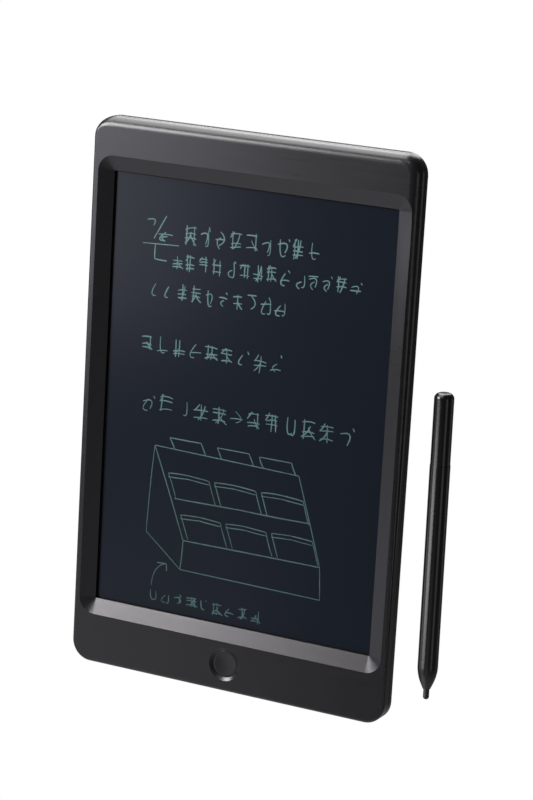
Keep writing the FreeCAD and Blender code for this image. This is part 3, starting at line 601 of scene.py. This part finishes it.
# ---------------------------------------------------------------------------------------------------------
# Erase lock: a ribbed finger slider in the rear shell, whose shoe carries the lever of a slide switch.
# The slider is the button's ABS; the switch and its lever are black nylon.

finish_nodes(button_plastic, "lock_slider")
finish_nodes(moulded_plastic("lock_nylon", NYLON_BLACK, 0.42), "lock_switch", "lock_switch_lever")

# ---------------------------------------------------------------------------------------------------------
# Coin cell with its contacts: a pressed nickel-plated can with a crimped cap, a leaf spring under it and a
# clip at its rim. The can's flat is spun-brushed and stamped with a plain cross for its positive side.

cell_low, cell_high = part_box("coin_cell")
CROSS_LONG, CROSS_WIDE = 1.9 * MM, 0.32 * MM


def about_cell(tree):
    """Cylindrical coordinates about the cell's axis: distance from it, depth and turning angle."""
    centre = (cell_low + cell_high) / 2
    moved = add_node(tree, "ShaderNodeMapping", {"Vector": object_space(tree), "Location": tuple(-centre)})
    parts = add_node(tree, "ShaderNodeSeparateXYZ", {0: moved.outputs[0]}).outputs
    flat = add_node(tree, "ShaderNodeCombineXYZ", {0: parts["X"], 1: parts["Z"]})
    away = add_node(tree, "ShaderNodeVectorMath", {0: flat.outputs[0]}, operation="LENGTH")
    turn = reckon(tree, "ARCTAN2", parts["Z"], parts["X"])
    together = add_node(tree, "ShaderNodeCombineXYZ", {0: away.outputs["Value"], 1: parts["Y"], 2: turn})
    return together.outputs[0], parts


def cell_material():
    """Spun-brushed nickel: lines of noise that run round the axis, and a stamped cross in the middle.

    The cross is where the smaller of |x| and |z| is under half its width and the larger under its length.
    """
    material = metal("nickel_can", (0.68, 0.67, 0.64), (0.58, 0.56, 0.5), 0.28, squeeze=(9000.0, 900.0, 1.2),
                     space=lambda tree: about_cell(tree)[0])
    tree = material.node_tree
    shader = tree.nodes["Principled BSDF"]
    group = next(node for node in tree.nodes if node.type == "GROUP")
    parts = about_cell(tree)[1]
    x, z = (reckon(tree, "ABSOLUTE", parts[axis]) for axis in "XZ")
    cross = reckon(tree, "MULTIPLY", reckon(tree, "LESS_THAN", reckon(tree, "MINIMUM", x, z), CROSS_WIDE),
                   reckon(tree, "LESS_THAN", reckon(tree, "MAXIMUM", x, z), CROSS_LONG))
    tone = blend_colours(tree, cross, group.outputs["Color"], (0.3, 0.29, 0.27, 1))
    tree.links.new(tone, shader.inputs["Base Color"])
    return material


finish_nodes(cell_material(), "coin_cell")
contact = metal("nickel_spring", (0.7, 0.68, 0.62), (0.6, 0.56, 0.48), 0.26, squeeze=(80.0, 5000.0, 5000.0))
finish_nodes(contact, "battery_leaf", "battery_clip")

# ---------------------------------------------------------------------------------------------------------
# Stylus: nose, barrel and cap turned from gloss black ABS and plugged together, with a short acetal nib.
# The gloss is polished in the mould, so only a faint cloudiness breaks it.

stylus_plastic = moulded_plastic("stylus_gloss", (0.0035, 0.0035, 0.0037), 0.22, grain=2500.0,
                                 depth=0.001 * MM, IOR=1.5)
finish_nodes(stylus_plastic, "stylus_nose", "stylus_barrel", "stylus_cap")
nib_plastic = moulded_plastic("nib_acetal", (0.012, 0.012, 0.013), 0.34, grain=5000.0, depth=0.002 * MM)
finish_nodes(nib_plastic, "stylus_nib")

# ---------------------------------------------------------------------------------------------------------
# Studio: a pale floor that runs out of sight, soft boxes and the camera.
# Floor and air look white to the camera and give only a little light, so that dark plastic stays dark.

FLOOR_DROP = 0.65
FLOOR_REACH = 12.0
FLOOR_PALE = (0.5, 0.5, 0.5, 1)
AIR_LIGHT = 0.065


def white_to_camera(tree, shade, white):
    """The white shader where the camera looks straight at it, and the given shade for everything else."""
    path = add_node(tree, "ShaderNodeLightPath")
    mix = add_node(tree, "ShaderNodeMixShader", {0: path.outputs["Is Camera Ray"], 1: shade, 2: white})
    return mix.outputs[0]


floor_z = cad_box[0].z - FLOOR_DROP
floor_mesh = bpy.data.meshes.new("studio_floor")
floor_corners = [(x * FLOOR_REACH, y * FLOOR_REACH, floor_z) for x, y in ((-1, -1), (1, -1), (1, 1), (-1, 1))]
floor_mesh.from_pydata(floor_corners, [], [(0, 1, 2, 3)])
floor = bpy.data.objects.new("studio_floor", floor_mesh)
bpy.context.scene.collection.objects.link(floor)
floor_paint, floor_tree, floor_shader = plain_shader("floor_paint", Base_Color=FLOOR_PALE, Roughness=0.7)
floor_white = add_node(floor_tree, "ShaderNodeEmission", {"Color": (1, 1, 1, 1)})
floor_tree.links.new(white_to_camera(floor_tree, floor_shader.outputs[0], floor_white.outputs[0]),
                     floor_tree.nodes["Material Output"].inputs["Surface"])
floor_mesh.materials.append(floor_paint)

air = bpy.data.worlds.new("studio_air")
air.use_nodes = True
bpy.context.scene.world = air
air_tree = air.node_tree
air_shade = air_tree.nodes["Background"]
air_shade.inputs["Color"].default_value = (1, 1, 1, 1)
air_shade.inputs["Strength"].default_value = AIR_LIGHT
air_white = add_node(air_tree, "ShaderNodeBackground", {"Color": (1, 1, 1, 1)})
air_out = next(node for node in air_tree.nodes if node.type == "OUTPUT_WORLD")
air_tree.links.new(white_to_camera(air_tree, air_shade.outputs[0], air_white.outputs[0]),
                   air_out.inputs["Surface"])


def direction(azimuth, elevation):
    """Unit vector from the object towards a place; azimuth 0 is straight in front, 90 to the right."""
    turn, rise = math.radians(azimuth), math.radians(elevation)
    return Vector((math.sin(turn) * math.cos(rise), -math.cos(turn) * math.cos(rise), math.sin(rise)))


def soft_box(name, azimuth, elevation, distance, width, height, radiance, colour=(1, 1, 1)):
    """A rectangular light seen from the object in one direction, facing it; radiance is its brightness."""
    out = direction(azimuth, elevation)
    lamp = bpy.data.lights.new(name, "AREA")
    lamp.shape = "RECTANGLE"
    lamp.size, lamp.size_y = width, height
    lamp.energy = radiance * math.pi * width * height
    lamp.color = colour
    holder = bpy.data.objects.new(name, lamp)
    holder.visible_camera = False
    holder.matrix_world = Matrix.Translation(out * distance) @ out.to_track_quat("Z", "Y").to_matrix().to_4x4()
    bpy.context.scene.collection.objects.link(holder)
    return holder


COOL = (0.95, 0.93, 1.05)
WARM = (1.0, 0.96, 0.99)
# Azimuth and elevation in degrees, distance, width, height, radiance and colour of each soft box.
soft_box("window", -44, 2.5, 0.8, 0.40, 0.33, 3.3, COOL)
soft_box("window_high", -46, 25.5, 0.9, 0.50, 0.36, 20.0, WARM)
soft_box("window_low", -42, -29, 0.8, 0.45, 0.30, 0.65, COOL)
soft_box("front_low", 18, -28, 0.9, 0.30, 0.30, 0.4, COOL)
soft_box("bounce", -30, -56, 0.7, 0.50, 0.30, 0.6, COOL)
soft_box("side_low", -74, -25, 0.8, 0.30, 0.22, 1.0, COOL)
soft_box("spark", 2, 46, 0.8, 0.16, 0.16, 5.0)
soft_box("overhead", -94, 69, 0.9, 1.0, 0.62, 6.0)
soft_box("backdrop_left", 197, 47, 1.3, 0.9, 1.2, 3.4)
soft_box("fill_right", 63, -4, 1.1, 0.30, 0.8, 0.8)
soft_box("rear_fill", 127, -4, 1.2, 0.35, 0.7, 0.45)

# The stylus stands beside the tablet with a strip light to itself, lower and brighter towards its nib.
strip = soft_box("stylus_strip", -30, -20, 0.8, 0.5, 0.17, 5.5)
strip.light_linking.receiver_collection = bpy.data.collections.new("stylus_pieces")
for name in ("stylus_nib", "stylus_nose", "stylus_barrel", "stylus_cap"):
    strip.light_linking.receiver_collection.objects.link(nodes[name])

AIM = Vector((0.0138, case_low.y, 0.011))
AZIMUTH, ELEVATION, ROLL = 26.77, 13.14, 3.34
DISTANCE = 1.2826
LENS = 129.58
towards_camera = direction(AZIMUTH, ELEVATION)
camera = bpy.data.objects.new("camera", bpy.data.cameras.new("camera"))
camera.data.lens = LENS
camera.matrix_world = (Matrix.Translation(AIM + towards_camera * DISTANCE)
                       @ towards_camera.to_track_quat("Z", "Y").to_matrix().to_4x4()
                       @ Matrix.Rotation(math.radians(ROLL), 4, "Z"))
bpy.context.scene.collection.objects.link(camera)
bpy.context.scene.camera = camera
bpy.context.scene.view_settings.view_transform = "Standard"
